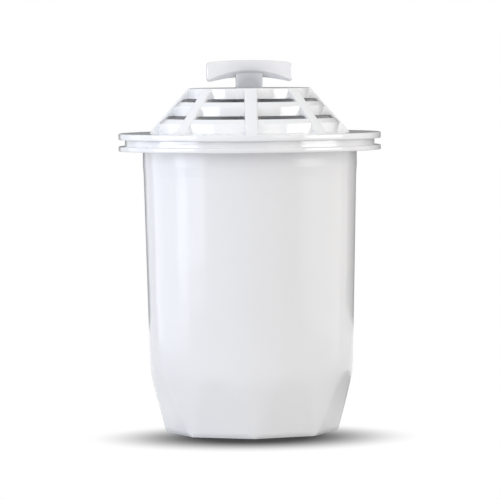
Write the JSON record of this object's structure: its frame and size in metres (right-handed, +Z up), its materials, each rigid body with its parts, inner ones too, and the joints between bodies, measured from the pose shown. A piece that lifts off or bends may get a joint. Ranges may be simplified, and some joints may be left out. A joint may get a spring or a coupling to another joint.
{
  "type": "water pitcher filter cartridge",
  "caption": "Drop-in gravity filter cartridge: a tapered cup of media under a louvred cone lid, with a double-lip flange to rest in the pitcher and a T-shaped pull handle.",
  "frame": {"origin": "centre of the foot, on the surface that the cartridge stands on", "axes": "+Z up along the cup's axis to the handle; X along the pull handle's bar; -Y towards the side that shows the bar's broad face"},
  "size_m": [0.09, 0.09, 0.1276],
  "materials": {
    "cup_plastic": "gloss moulded white",
    "lid_plastic": "gloss moulded white",
    "handle_plastic": "satin moulded, slightly translucent white",
    "mesh": "woven monofilament",
    "felt": "non-woven felt",
    "carbon": "packed granules",
    "resin": "packed beads"
  },
  "bodies": {
    "root": {"housing_cup": "cup_plastic", "lid_grille": "lid_plastic", "pull_handle": "handle_plastic", "inlet_mesh": "mesh", "inlet_pad": "felt", "carbon_bed": "carbon", "divider_pad": "felt", "resin_bed": "resin", "outlet_pad": "felt", "outlet_mesh": "mesh"}
  },
  "joints": []
}
